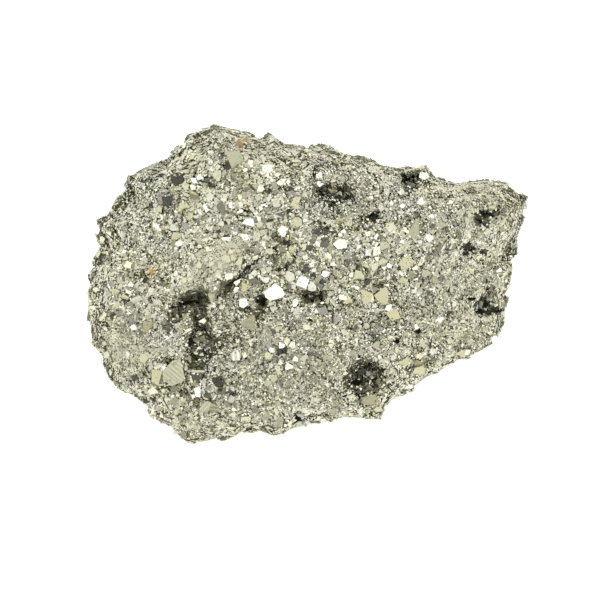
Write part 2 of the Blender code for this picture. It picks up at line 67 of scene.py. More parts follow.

# ---- The broad face, drawn one by one ----

# Larger crystals, by how they look from straight ahead: across, up, width, height, and, where they
# are not the usual ones, turn (degrees) and number of corners.
USUAL_TURN_AND_CORNERS = (0, 5)
CRYSTALS = {
    "pale": [
        (-7.3, 26.2, 3.0, 2.7, -20), (-32.6, 13.2, 1.8, 2.3, 20), (-26.9, 15.5, 1.6, 1.8),
        (-11.8, 13.9, 2.7, 1.8, 5), (-3.9, 12.1, 2.5, 2.7), (-12.5, 10.5, 1.5, 2.2, 20),
        (-27.3, 9.1, 2.1, 1.4), (-20.3, 27.6, 1.1, 1.1), (-22.8, 24.4, 1.6, 1.4),
        (-24.1, 23.5, 1.4, 1.4), (-24.4, 22.1, 1.4, 1.4), (4.3, 24.8, 1.6, 1.5, 10),
        (4.6, 23.1, 1.5, 1.7), (9.1, 9.1, 2.5, 3.2, 90), (10.0, 11.8, 1.4, 1.4),
        (17.5, 10.7, 1.4, 1.6, 30), (15.5, 7.3, 1.4, 1.8, -20), (13.2, 8.5, 1.6, 1.3),
        (29.4, 10.5, 1.6, 1.8, 45, 4), (28.2, 24.6, 2.3, 1.8), (-5.9, -1.8, 4.6, 3.7, 10, 7),
        (-8.0, 0.9, 2.1, 1.6, 10), (0.7, 0.7, 2.5, 2.9, -15), (5.9, 2.3, 2.2, 1.5, 5),
        (7.5, 4.6, 1.3, 1.1), (12.9, -0.6, 2.0, 1.3), (20.4, -5.4, 2.4, 1.4, 20),
        (-0.9, -4.3, 1.6, 1.8), (-12.8, -4.3, 2.1, 2.5), (-13.4, -6.4, 1.4, 1.4),
        (-14.4, -1.4, 1.4, 1.4), (-1.8, -13.9, 1.6, 1.6), (-2.5, -18.7, 1.8, 1.8),
        (-1.1, -16.9, 1.4, 1.4), (-4.3, -17.8, 1.4, 1.4), (-4.1, -13.9, 1.4, 1.4),
        (-6.4, -15.0, 1.6, 1.4), (-38.5, 0.0, 1.4, 1.6), (-39.9, 7.3, 1.4, 1.4),
        (-37.8, -9.8, 1.8, 1.4), (-28.0, 2.3, 1.4, 1.4), (-23.0, -24.6, 1.8, 2.5, 10),
        (-24.3, -25.7, 1.0, 1.1), (-33.0, -28.9, 1.6, 2.1), (-28.9, -25.1, 1.8, 1.4),
        (31.9, -8.0, 1.8, 1.6), (30.3, -15.5, 1.8, 1.6), (38.3, -15.3, 2.1, 1.1, 20),
        (24.6, -23.2, 2.3, 1.4, 15),
    ],
    "yellow": [
        (-26.4, 17.8, 2.3, 1.8), (-28.2, 10.9, 2.3, 2.1), (-1.4, 17.8, 2.3, 1.8, 10),
        (-0.9, 14.1, 2.8, 2.4), (-9.1, 13.2, 1.6, 2.3), (7.3, 21.4, 2.1, 2.0),
        (9.1, 14.1, 2.3, 1.8, 45), (-1.8, 7.7, 2.7, 1.8), (19.4, 8.7, 2.3, 1.8),
        (24.1, 4.8, 4.1, 2.7, 30), (18.9, 5.0, 2.1, 1.6, 20), (13.4, 1.8, 2.5, 2.8),
        (15.4, -2.7, 2.6, 3.4, 10), (18.9, -3.2, 4.2, 4.9, -12), (10.7, -3.9, 2.5, 1.4),
        (21.4, -7.0, 3.4, 2.9, -30), (23.5, 0.7, 2.3, 1.8), (-7.3, -16.4, 2.3, 2.1),
        (0.9, -16.9, 1.8, 1.6), (-42.1, -2.1, 2.1, 1.8), (-39.9, -3.4, 2.1, 2.5),
        (-41.5, -4.8, 1.8, 1.6), (-32.2, -21.2, 3.7, 3.8, -25), (-27.8, -29.4, 1.8, 2.3),
        (-12.3, -30.8, 2.3, 1.4), (23.5, -17.8, 2.7, 2.3), (27.1, -20.0, 3.0, 2.5, 35),
        (36.9, -15.9, 2.3, 1.6, 20), (17.8, -28.5, 2.3, 1.4), (-23.0, -19.9, 2.9, 0.6, 0, 4),
    ],
    "beige": [
        (-14.8, 28.2, 4.4, 3.8), (25.4, 12.8, 3.8, 5.0, -70, 3), (-22.8, 7.1, 2.3, 1.8),
        (17.3, -13.9, 1.8, 1.8),
    ],
    "olive": [
        (7.4, 23.0, 2.2, 1.2, -10), (16.2, -26.5, 4.8, 2.7, -10), (-11.8, -8.9, 3.2, 3.8),
        (-34.5, -9.6, 3.2, 2.6, 20), (-28.6, 8.9, 1.6, 2.6), (-23.6, -22.9, 2.7, 0.9, 0, 4),
        (27.4, -18.4, 3.0, 1.4, -25),
    ],
    "black": [
        (23.6, 24.5, 1.8, 1.1), (23.7, 22.9, 1.2, 1.9, 25), (40.8, -6.4, 1.5, 1.4, -40),
        (42.4, -4.6, 0.8, 2.0), (42.8, -6.6, 1.9, 1.2), (13.0, -22.5, 2.9, 1.5),
        (15.8, -18.2, 1.4, 1.4), (41.1, 15.8, 2.0, 1.4, -10), (38.0, 8.5, 1.4, 1.6),
        (37.3, 7.1, 0.9, 1.0), (40.9, 14.2, 1.2, 1.0), (44.5, 16.0, 1.5, 1.0, 45),
        (-24.7, -13.0, 1.1, 1.9), (16.8, 15.2, 1.1, 1.4, -20), (-8.5, -4.3, 1.4, 1.4),
        (26.9, -10.6, 1.0, 1.1), (22.2, -13.0, 0.9, 1.0, 30), (2.3, -8.0, 0.8, 0.8),
        (-0.4, -30.1, 1.3, 1.5, 20), (39.3, -3.4, 1.8, 0.6, 5, 4), (3.1, 25.6, 0.5, 3.6, -8, 4),
    ],
    "grey": [
        (41.1, -4.7, 1.0, 1.7, -15), (15.5, -20.1, 1.1, 1.9), (12.5, -21.2, 1.1, 0.8),
        (-25.7, 13.0, 2.0, 2.2), (-31.6, 19.4, 2.2, 2.6), (-3.0, -2.2, 3.4, 1.2, 5),
        (-2.0, 20.4, 2.6, 1.8), (5.4, -6.0, 2.4, 2.0), (8.0, -8.4, 2.2, 2.8),
    ],
    "orange": [(-33.5, 2.7, 1.3, 1.7, 10)],
    "reddish": [(-13.6, 31.6, 1.8, 2.6, 15), (-12.4, 32.6, 1.4, 1.8, -30)],
    "dark": [
        (25.0, 22.3, 2.0, 1.7, -10), (13.9, -24.4, 2.3, 1.1, 10), (14.0, -20.0, 1.8, 1.6, 40),
        (44.9, 15.9, 1.1, 1.5, -40), (42.8, -3.6, 1.0, 1.3), (42.1, 7.5, 1.3, 0.7, 10),
        (-28.6, -6.2, 1.6, 1.5), (-24.2, -3.1, 1.9, 1.3, 20), (-21.9, -9.4, 1.6, 1.2),
        (-27.8, 23.7, 3.4, 3.0, 30), (-30.1, 18.9, 2.7, 2.5), (-16.4, 26.9, 2.1, 1.8),
        (-2.1, 21.0, 2.7, 2.3), (3.8, 11.8, 1.7, 1.9, 10), (5.7, 11.9, 1.5, 1.5),
        (7.7, 11.6, 1.7, 1.3, 15), (2.1, 8.2, 1.7, 1.8, 45), (10.9, 5.0, 1.2, 1.8, -15),
        (1.4, 3.6, 1.4, 2.0, 20), (3.0, 2.1, 1.4, 1.2), (-4.8, -15.3, 1.2, 2.5),
        (-42.8, -7.3, 2.1, 1.8), (-18.7, -22.3, 2.9, 2.1, -10), (-21.1, -25.2, 1.8, 1.9),
        (-37.4, -21.2, 2.1, 1.4), (-33.2, -26.2, 1.3, 1.4), (-34.9, -26.7, 1.4, 0.9),
        (-16.2, -24.9, 2.1, 1.1, 0, 4), (-2.5, 16.6, 1.3, 1.2), (-23.3, -21.4, 3.4, 1.9),
        (14.8, 0.0, 3.2, 0.9, 45, 4), (-8.0, -5.6, 1.6, 1.0), (22.5, 3.6, 1.0, 0.9),
    ],
}

# Striated faces: their look, the bearing across their ridges (degrees), the width of a ridge, and
# their corners, anticlockwise (mm).
STRIATED = {
    "cube face": ("beige", 50, 0.42, [
        (-31.2, -20.0), (-31.2, -21.9), (-29.2, -23.2), (-26.2, -21.9), (-26.4, -20.0),
        (-27.1, -16.9), (-28.9, -17.5)]),
    "pyramid, left side": ("beige", -40, 0.40, [
        (-22.9, -29.4), (-20.9, -29.4), (-20.3, -26.9), (-21.0, -26.6), (-22.6, -27.6)]),
    "pyramid, right side": ("olive", 85, 0.40, [
        (-20.8, -29.4), (-17.8, -29.0), (-18.9, -27.6), (-20.2, -26.9)]),
    "pale face": ("pale", 5, 0.50, [
        (-15.9, -15.9), (-15.3, -17.5), (-13.7, -17.3), (-13.4, -15.5), (-14.6, -15.0)]),
    "dark face": ("dark", -45, 0.40, [
        (4.6, 8.9), (5.5, 8.0), (6.6, 8.9), (6.6, 10.7), (5.0, 10.5)]),
}
RIDGE_LEAN = 9.0

# Where middle-sized crystals crowd: across, up, half width, half height, turn (degrees).
COARSE_ZONES = {
    "ledge": (-19.5, 3.6, 8.0, 3.0, 35),
    "middle band": (-1.5, 3.5, 17.0, 9.0, 18),
    "upper left": (-19.5, 18.0, 13.0, 10.0, -10),
    "upper middle": (-5.5, 16.0, 9.0, 8.0, 0),
    "left": (-38.5, -2.5, 6.0, 5.0, -20),
    "lower left": (-27.0, -23.0, 12.0, 6.0, -20),
    "lower middle": (-4.0, -15.5, 5.0, 4.0, 0),
    "right": (24.0, 6.0, 9.0, 7.0, -30),
    "bottom": (-6.0, -31.0, 11.0, 2.6, 0),
}
COARSE_EDGE = 0.3

# Hollows, the solid's pits and vugs and smaller gaps between the crystals, darkened with painted
# shade and some tarnish: across, up, half width, half height, turn (degrees), and how dark they
# are.
HOLLOWS = {
    "upper vug": (7.6, 19.8, 4.3, 1.6, -8, 0.50),
    "upper vug, left": (3.9, 20.0, 1.0, 2.2, -15, 0.5),
    "upper vug, cores": (7.4, 19.7, 1.9, 0.7, 0, 0.75),
    "round pit": (24.8, 23.0, 1.9, 1.9, 0, 0.95),
    "round pit, right": (27.0, 23.7, 0.9, 0.5, 10, 0.5),
    "middle pit": (16.7, 15.2, 1.05, 1.25, -20, 1.15),
    "hollow left of it": (13.9, 13.8, 2.2, 1.7, 0, 0.45),
    "right pit": (41.2, 15.5, 1.7, 1.3, 0, 1.15),
    "right pit, low": (41.8, 13.8, 1.6, 1.4, 0, 0.95),
    "right pit, right": (44.6, 15.9, 1.3, 1.0, 45, 1.1),
    "small right pit": (37.9, 8.3, 1.3, 1.5, 0, 1.15),
    "small right pit, low": (37.4, 7.1, 0.6, 0.7, 0, 1.15),
    "smaller right pit": (42.1, 7.5, 1.1, 0.7, 10, 1.15),
    "right vug": (41.8, -5.2, 2.3, 2.6, 20, 1.15),
    "right vug, arm": (39.0, -3.4, 1.2, 0.5, 5, 1.0),
    "right vug, top": (43.2, -1.8, 1.3, 1.6, 0, 0.75),
    "right vug, right": (44.6, -6.2, 1.3, 0.9, 0, 1.1),
    "largest vug": (13.8, -22.4, 2.0, 2.2, 0, 0.85),
    "largest vug, top": (15.9, -18.8, 1.2, 1.9, -20, 0.5),
    "pit under the pale crystals": (3.6, -3.5, 2.3, 1.0, -10, 0.75),
    "pocket beside them": (-8.4, -4.3, 0.9, 1.0, 20, 1.0),
    "crack pocket": (-24.9, -3.3, 2.0, 1.2, 22, 0.3),
    "crack pocket, low": (-28.5, -6.2, 1.1, 1.5, -20, 0.55),
    "crack pocket, end": (-30.1, -9.3, 0.9, 1.4, -10, 0.85),
    "crack pocket, right": (-20.3, -2.5, 1.0, 1.0, 0, 0.5),
    "crack, upper": (-14.1, 0.7, 1.6, 0.8, 28, 0.5),
    "crack, top": (-12.3, 2.8, 1.5, 0.9, 50, 0.6),
    "dark pocket": (-22.1, -6.8, 1.0, 1.7, 0, 0.5),
    "dark pocket, middle": (-22.0, -9.8, 1.9, 1.6, 0, 0.3),
    "dark pocket, core": (-24.7, -13.0, 0.8, 1.7, 0, 1.0),
    "dark pocket, right": (-21.2, -13.6, 2.4, 1.8, 0, 0.35),
    "dark pocket, low": (-21.6, -16.6, 1.9, 1.5, 0, 0.5),
    "dark pocket, end": (-25.6, -17.5, 0.8, 2.2, 10, 0.42),
    "lower pit": (-0.4, -30.1, 1.1, 1.2, 30, 1.15),
    "left pit": (-37.0, -21.2, 1.8, 0.9, 10, 0.65),
    "pore": (26.9, -10.6, 0.75, 0.75, 0, 1.15),
    "pore, left": (22.2, -13.0, 0.6, 0.6, 30, 1.0),
    "pore, middle": (2.3, -8.0, 0.6, 0.6, 0, 1.0),
}
HOLLOW_EDGE = 0.12
# How far a hollow's outline wanders, as a share of its size.
HOLLOW_WANDER = 0.6
# Sparks: the share of the crystals in a hollow that look into the light, how dark it is painted
# there at least, and how much of that painted shade they keep.  The others lose up to a share of
# it.
SPARK_SHARE = 0.13
SPARK_PLACE = 0.3
SPARK_DARKNESS = 0.15
HOLLOW_SPREAD = 0.35

# Powdery patches, and patches that are a little darker: across, up, half width, half height, turn
# (degrees), and how strong they are.
POWDERY = {
    "beige ledge": (-19.9, 4.3, 8.5, 3.0, 35, 0.75),
    "left lobe": (-40.0, -15.0, 6.0, 5.0, -40, 0.3),
    "bottom": (-20.0, -33.0, 9.0, 3.0, -15, 0.3),
    "top edge": (3.0, 32.5, 24.0, 4.0, -9, 0.2),
    "upper right": (46.0, 17.0, 8.0, 9.0, 0, 0.12),
    "right edge": (44.0, -9.0, 7.0, 10.0, -30, 0.12),
}
POWDERY_EDGE = 0.35
DARKER = {
    "upper right": (42.0, 16.0, 12.0, 12.0, 0, 0.12),
    "right": (37.0, -6.0, 14.0, 11.0, 0, 0.12),
    "upper left": (-19.0, 22.0, 14.0, 10.0, -10, 0.06),
    "left": (-40.0, -17.0, 10.0, 11.0, 0, 0.10),
    "lower middle": (-6.0, -18.0, 14.0, 6.0, 0, 0.08),
    "below the crack": (-4.0, -8.0, 10.0, 5.0, 0, 0.06),
}
DARKER_EDGE = 0.5

# Smooth noise of each kind: the size of its patches (mm), and a shift that sets it apart.
CLOUDS = {
    "hollow outlines": (1.2, 6.0),
    "weathered pockets": (5.0, 11.0),
    "weathered patches": (9.0, 0.0),
    "tarnish_and_painted_shade": (2.6, 5.0),
    "tint": (6.0, 9.0),
    "coarseness": (14.0, 3.0),
    "fine widths": (7.0, 2.0),
}

# ---- How the crystals of each kind stand ----

# Each look of a listed crystal: how far its face leans off the broad face, towards which bearing,
# how much both vary (degrees), then its tint, tarnish and painted shade, dullness, rust and
# powder.
LOOK_KEYS = ("tint", "tarnish_and_painted_shade", "dullness", "rust", "powder")
LOOKS = {
    "pale": (18.0, 60.0, 5.0, 16.0, 0.30, 0.17, 0.25, 0.0, 0.0),
    "yellow": (24.0, 268.0, 3.0, 14.0, 0.78, 0.0, 0.35, 0.0, 0.0),
    "beige": (14.0, 285.0, 5.0, 40.0, 0.68, 0.08, 0.7, 0.0, 0.2),
    "olive": (14.0, 285.0, 5.0, 40.0, 0.95, 0.38, 0.8, 0.0, 0.15),
    "grey": (12.0, 100.0, 5.0, 60.0, 0.15, 0.36, 0.5, 0.0, 0.0),
    # The darkness of the dark and black looks is painted shade and painted dark reflection,
    # besides tarnish.
    "dark": (4.0, 20.0, 4.0, 90.0, 0.4, 0.66, 0.25, 0.0, 0.0),
    "black": (4.0, 20.0, 6.0, 90.0, 0.5, 1.15, 0.3, 0.0, 0.0),
    "orange": (14.0, 285.0, 2.0, 10.0, 1.0, 0.0, 0.8, 1.0, 1.0),
    "reddish": (14.0, 285.0, 5.0, 40.0, 0.7, 0.15, 0.8, 0.45, 0.5),
}
# How much the last five vary from crystal to crystal.
LOOK_SPREAD = (0.12, 0.05, 0.15, 0.0, 0.0)
# How far listed crystals stand proud of the solid (mm), how uneven their outlines are, how
# much they follow the solid's slope, and how far from them others keep, in widths.
HAND_PROUD = (0.16, 0.42)
HAND_UNEVENNESS = 0.95
HAND_FOLLOW = 0.35
HAND_MARGIN = 0.3

# The tarnish of all scattered crystals, and what a few of them, patches of them, the weathered
# back and its pockets have besides.
TARNISH = {"all": 0.015, "few": 0.9, "patches": 0.16, "back": 0.25, "pockets": 0.8}
# Their tint: its middle, how much it varies from crystal to crystal and in patches, and how much
# powder and the darker patches add.
TINT = {"middle": 0.50, "spread": 0.14, "patches": 0.24, "powder": 0.3, "darker": 0.6}
LEAST_TINT = 0.1

# Middle-sized crystals: widths (mm), how far their faces lean (radians), how far they stand proud
# of the solid (mm), how many places are tried, and the share of those kept where it is fine.
MIDDLE_WIDTHS = (0.8, 2.4)
MIDDLE_LEAN = 0.20
MIDDLE_PROUD = (0.10, 0.42)
MIDDLE_TRIES = 36000
MIDDLE_SHARE = 0.10
# How much further apart they keep than their widths ask, how strongly narrow ones prevail, and
# the share of their breadth where it is fine.
MIDDLE_SPACING = 1.12
MIDDLE_SKEW = 1.8
MIDDLE_BREADTH = 0.4
# Large ones away from the broad face: their share of the tries, widths (mm), and the cosine that
# their normals stay under, off the broad face's.
LARGE_SHARE = 0.012
LARGE_WIDTHS = (2.0, 3.6)
LARGE_AWAY = -0.45
LARGE_LOOKS = ("pale", "pale", "yellow", "beige", "grey", "dark")
# Fine crystals: widths on the broad face and at the back (mm), and the rest as above.
FINE_FRONT = 0.34
FINE_BACK = 0.60
FINE_LEAN = 0.24
FINE_PROUD = (0.04, 0.24)
FINE_TRIES = 320000
FINE_PIECES = 7
# How much their widths vary in patches and from crystal to crystal, and how much broader they are
# than the room that they claim.
FINE_PATCHES = 0.28
FINE_VARIETY = (-0.18, 0.30)
FINE_BREADTH = 1.25
# Their middles keep off a middle-sized crystal's by these shares of its width and of theirs.
SHADE = (0.42, 0.10)
# A few crystals look this way, tilt and bearing off the broad face (degrees), into the light.
# They and the sparks do so where their normals are this near the broad face's (as a cosine).
GLINT = (18.0, 62.0)
GLINT_SPREAD = 0.10
GLINT_SHARE = 0.075
GLINT_FACING = 0.7
SPARK_FACING = 0.3
# The rim is where a normal's cosine off the broad face's is about this or less.  Then the share
# of the middle-sized crystals that it lacks, its powder and dullness, and the shares of lean,
# height and breadth that crystals lose there.
RIM_BREADTH = 0.45
RIM_FINENESS = 0.7
RIM_POWDER = 0.25
RIM_DULLNESS = 0.4
RIM_LEAN = 0.7
RIM_HEIGHT = 0.75
RIM_NARROWING = 0.6
# The shares of lean that they lose in powder and in the darkest of the darker patches.
POWDER_CALM = 0.4
DARKER_CALM = 0.35
# The shares of the crystals with a second face, and of those with a third.
SECOND_FACE = {"middle": 0.6, "fine": 0.18}
THIRD_FACE = 0.4
HAND_SECOND_FACE = 0.35
# Where a second face starts, as a share of the width from the middle, and how steeply it falls.
SECOND_FACE_START = (0.02, 0.28)
HAND_FACE_START = (0.26, 0.40)
SECOND_FACE_DROP = (0.45, 1.20)
# An outline before it is shared out with the neighbours: its size in widths, its length and its
# breadth in sizes, and its least and most corners.
OUTLINE_SHARE = {"middle": 1.25, "fine": 1.42}
OUTLINE_LENGTHS = (1.0, 1.3)
OUTLINE_BREADTHS = (0.8, 1.1)
OUTLINE_CORNERS = (4, 6)
# The least that a crystal keeps towards a neighbour, in widths, and the least cosine between the
# normals of two that share out their outlines.
LEAST_REACH = 0.12
LEAST_ALIKE = 0.2
# The least cosine between a face and its crystal's normal, and how much such a normal follows the
# solid's facet, beside its softened normals.
LEAST_FACING = 0.35
FACET_SHARE = 0.4
# How far over or under a listed crystal its outline keeps others out (mm).
COVER_DEPTH = 2.0
# Two crystals' middles keep apart by this share of their widths together.
ROOM_SHARE = 0.40
# Half the seam between neighbours (mm), and how deep a crystal's tip lies, in widths.
SEAM = {"middle": 0.03, "fine": 0.015}
TIP_DEPTH = 0.85
# The ground between the crystals lies this far inside the solid's surface (mm), and no crystal
# reaches lower than this.
GROUND_DEPTH = 0.30
LOWEST = 0.02


def face_places(points):
    """Across and up, in the plane of the broad face (mm), where world points are seen."""
    away = points - VIEW_POINT
    seen = VIEW_POINT - CAMERA_DISTANCE * away / (away @ OUT)[:, None]
    local = (seen - FACE_MIDDLE) / MM
    return local @ ACROSS, local @ UP


def leaning(tilt, bearing):
    """The direction that leans off the broad face's normal, towards a bearing (degrees)."""
    away, turn = math.radians(tilt), math.radians(bearing)
    return math.cos(away) * OUT + math.sin(away) * (math.cos(turn) * ACROSS + math.sin(turn) * UP)


def unit(vectors):
    """Vectors scaled to length 1."""
    return vectors / np.linalg.norm(vectors, axis=-1, keepdims=True)


def smooth(values):
    """Ease from 0 to 1, flat at both ends."""
    held = np.clip(values, 0.0, 1.0)
    return held * held * (3.0 - 2.0 * held)


def reach_in(zone, across, up):
    """Distance from a zone's middle as a share of its size: 1 on its outline."""
    centre_x, centre_y, half_w, half_h, turn = zone[:5]
    cosine, sine = math.cos(math.radians(turn)), math.sin(math.radians(turn))
    off_x, off_y = across - centre_x, up - centre_y
    return np.hypot((off_x * cosine + off_y * sine) / half_w,
                    (off_y * cosine - off_x * sine) / half_h)


def strength(zones, across, up, edge, wander=0.0):
    """The strongest of some zones at each place, each fading over its edge; wander widens them."""
    result = np.zeros(across.shape)
    for zone in zones.values():
        share = smooth((1.0 + edge + wander - reach_in(zone, across, up)) / (2.0 * edge))
        result = np.maximum(result, share * (zone[5] if len(zone) > 5 else 1.0))
    return result


def cloud(points, kind):
    """Smooth noise of one kind, about 0, at world points."""
    size, offset = CLOUDS[kind]
    shift = Vector((offset, offset, offset))
    return np.array([noise.noise(Vector(point) / (size * MM) + shift) for point in points])


def tree_of(points):
    """A tree for finding the points that are near a place."""
    tree = kdtree.KDTree(len(points))
    for index, point in enumerate(points):
        tree.insert(point, index)
    tree.balance()
    return tree


# ---- The solid as it was packed ----

def solid_mesh():
    """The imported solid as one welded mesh."""
    mesh = bmesh.new()
    mesh.from_mesh(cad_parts["pyrite"].data)
    bmesh.ops.remove_doubles(mesh, verts=mesh.verts, dist=1e-7)
    return mesh


class Solid:
    """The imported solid's faces as arrays, with a tree for finding places on it."""

    def __init__(self):
        mesh = solid_mesh()
        bmesh.ops.triangulate(mesh, faces=mesh.faces[:])
        mesh.normal_update()
        self.corners = np.array([[vert.co for vert in face.verts] for face in mesh.faces])
        self.normals = np.array([face.normal for face in mesh.faces])
        self.areas = np.array([face.calc_area() for face in mesh.faces])
        self.soft_normals = np.array([[vert.normal for vert in face.verts]
                                      for face in mesh.faces])
        self.tree = BVHTree.FromBMesh(mesh)
        mesh.free()

    def scatter(self, count, weights, draw):
        """Random places on the solid: points and outward normals."""
        faces = draw.choice(len(weights), size=count, p=weights / weights.sum())
        first, second = draw.random((2, count))
        flip = first + second > 1.0
        first, second = np.where(flip, 1.0 - first, first), np.where(flip, 1.0 - second, second)
        shares = np.stack((1.0 - first - second, first, second), axis=1)[:, :, None]
        points = (self.corners[faces] * shares).sum(axis=1)
        soft = (self.soft_normals[faces] * shares).sum(axis=1)
        return points, unit(FACET_SHARE * self.normals[faces] + unit(soft))

    def under(self, across, up):
        """The place that is seen at a point in the plane of the broad face, and its normal."""
        aim = FACE_MIDDLE + (across * ACROSS + up * UP) * MM - VIEW_POINT
        place, normal, _face, _distance = self.tree.ray_cast(Vector(VIEW_POINT), Vector(aim))
        return np.array(place), np.array(normal)


# ---- One crystal ----

def clipped(outline, slope_x, slope_y, limit):
    """The part of a convex outline where slope_x * x + slope_y * y <= limit."""
    kept = []
    last_x, last_y = outline[-1]
    before = slope_x * last_x + slope_y * last_y - limit
    for x, y in outline:
        here = slope_x * x + slope_y * y - limit
        if (here > 0.0) != (before > 0.0):
            share = before / (before - here)
            kept.append((last_x + share * (x - last_x), last_y + share * (y - last_y)))
        if here <= 0.0:
            kept.append((x, y))
        last_x, last_y, before = x, y, here
    return kept


def ring(width, height, turn, corner_count, unevenness, draw):
    """An uneven convex outline of a width and height (mm), anticlockwise."""
    first = draw.random()
    angles = [math.tau * (number + first + unevenness * (draw.random() - 0.5)) / corner_count
              for number in range(corner_count)]
    spots = [(math.cos(angle), math.sin(angle)) for angle in angles]
    low_x, high_x = min(x for x, _y in spots), max(x for x, _y in spots)
    low_y, high_y = min(y for _x, y in spots), max(y for _x, y in spots)
    cosine, sine = math.cos(turn), math.sin(turn)
    outline = []
    for x, y in spots:
        wide = width * ((x - low_x) / (high_x - low_x) - 0.5)
        tall = height * ((y - low_y) / (high_y - low_y) - 0.5)
        outline.append((wide * cosine - tall * sine, wide * sine + tall * cosine))
    return outline


def shared(outline, width, others, seam):
    """An outline without what belongs to the neighbours: each is across, up and width."""
    for x, y, other in others:
        gap = math.hypot(x, y)
        limit = 0.5 * gap + 0.125 * (width * width - other * other) / gap
        outline = clipped(outline, x / gap, y / gap, max(limit, LEAST_REACH * width) - seam)
        if len(outline) < 3:
            break
    return outline


def corner_of(points, index_of, x, y, plane):
    """The index of the corner at x, y, added with its height on a plane where it is new."""
    key = (round(x, 5), round(y, 5))
    if key not in index_of:
        index_of[key] = len(points)
        points.append((x, y, plane[0] * x + plane[1] * y + plane[2]))
    return index_of[key]


def crystal(outline, planes, depth):
    """A closed crystal: an outline roofed by the lowest of some planes, with a tip below."""
    points, index_of, faces = [], {}, []
    for plane in planes:
        region = outline
        for other in planes:
            if other is not plane and len(region) > 2:
                region = clipped(region, plane[0] - other[0], plane[1] - other[1],
                                 other[2] - plane[2])
        face = [corner_of(points, index_of, x, y, plane) for x, y in region]
        face = [index for number, index in enumerate(face) if index != face[number - 1]]
        if len(face) > 2:
            faces.append(face)
    edges = {(face[number - 1], face[number]) for face in faces for number in range(len(face))}
    tip = len(points)
    middle_x = sum(x for x, _y in outline) / len(outline)
    middle_y = sum(y for _x, y in outline) / len(outline)
    points.append((middle_x, middle_y, -depth))
    faces += [[end, start, tip] for start, end in sorted(edges) if (end, start) not in edges]
    return points, faces


def roof(slopes, height, width, extra, starts, draw):
    """A crystal's faces as planes: the main one, and some that cut its edges."""
    planes = [(slopes[0], slopes[1], height)]
    for _number in range(extra):
        bearing = math.tau * draw.random()
        drop = draw.uniform(*SECOND_FACE_DROP)
        start = width * draw.uniform(*starts)
        x, y = math.cos(bearing), math.sin(bearing)
        planes.append((slopes[0] - drop * x, slopes[1] - drop * y, height + drop * start))
    return planes


# ---- Crystals in their thousands ----

class Room:
    """Remembers what is taken, in cells, so that crystals keep their distance."""

    def __init__(self, cell):
        self.cell = cell * MM
        self.taken = {}

    def claim(self, point, width):
        """Take the room for a crystal if it is free; say whether it was."""
        home = [int(value // self.cell) for value in point]
        near = [other for x in (-1, 0, 1) for y in (-1, 0, 1) for z in (-1, 0, 1)
                for other in self.taken.get((home[0] + x, home[1] + y, home[2] + z), ())]
        for x, y, z, other in near:
            gap = ROOM_SHARE * (width + other) * MM
            apart = (x - point[0]) ** 2 + (y - point[1]) ** 2 + (z - point[2]) ** 2
            if apart < gap * gap:
                return False
        self.taken.setdefault(tuple(home), []).append((*point, width))
        return True


class Crystals:
    """Where crystals stand and how they look, as arrays."""

    def __init__(self, points, normals, widths, helper):
        self.points = points
        self.normals = normals
        self.widths = widths
        self.first = unit(helper - (helper * normals).sum(axis=1)[:, None] * normals)
        self.second = np.cross(normals, self.first)
        count = len(points)
        self.looks = {key: np.zeros(count) for key in LOOK_KEYS}
        self.calm = np.zeros(count)
        self.tree = tree_of(points)

    def neighbours(self, index, reach):
        """Across, up and width (mm) of the crystals round one, as it sees them."""
        place, first, second = self.points[index], self.first[index], self.second[index]
        found = []
        for _place, other, _distance in self.tree.find_range(place, reach * MM):
            if other != index and self.normals[other] @ self.normals[index] > LEAST_ALIKE:
                step = (self.points[other] - place) / MM
                found.append((float(step @ first), float(step @ second), self.widths[other]))
        return found

    def slopes(self, facings):
        """How the planes that look along some directions rise, seen from each crystal."""
        along = np.maximum((facings * self.normals).sum(axis=1), LEAST_FACING)
        return np.stack((-(facings * self.first).sum(axis=1) / along,
                         -(facings * self.second).sum(axis=1) / along), axis=1)


class Heap:
    """Collects crystals and makes them mesh pieces."""

    def __init__(self):
        self.points, self.owners, self.faces = [], [], []

    def add(self, points, faces, owner):
        """Add one crystal."""
        start = len(self.points)
        self.points += points
        self.owners += [owner] * len(points)
        self.faces += [[start + index for index in face] for face in faces]

    def build(self, name, crystals, material):
        """Make the piece, with each crystal's looks as attributes."""
        owners = np.array(self.owners)
        local = np.array(self.points) * MM
        points = (crystals.points[owners] + local[:, 0:1] * crystals.first[owners]
                  + local[:, 1:2] * crystals.second[owners]
                  + local[:, 2:3] * crystals.normals[owners])
        points[:, 2] = np.maximum(points[:, 2], LOWEST * MM)
        counts = np.array([len(face) for face in self.faces])
        data = bpy.data.meshes.new(name)
        data.vertices.add(len(points))
        data.vertices.foreach_set("co", points.astype(np.float32).ravel())
        data.loops.add(int(counts.sum()))
        data.loops.foreach_set("vertex_index",
                               np.concatenate(self.faces).astype(np.int32))
        data.polygons.add(len(counts))
        starts = np.concatenate(((0,), np.cumsum(counts)[:-1]))
        data.polygons.foreach_set("loop_start", starts.astype(np.int32))
        data.update(calc_edges=True)
        data.shade_flat()
        for key, values in crystals.looks.items():
            layer = data.attributes.new(key, "FLOAT", "POINT")
            layer.data.foreach_set("value", values[owners].astype(np.float32))
        data.materials.append(material)
        add_piece(name, data)


def add_piece(name, data):
    """Put a piece of the specimen into the scene, in the solid's place."""
    piece = bpy.data.objects.new(name, data)
    bpy.context.scene.collection.objects.link(piece)
    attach(piece, "root")
    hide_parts("pyrite")


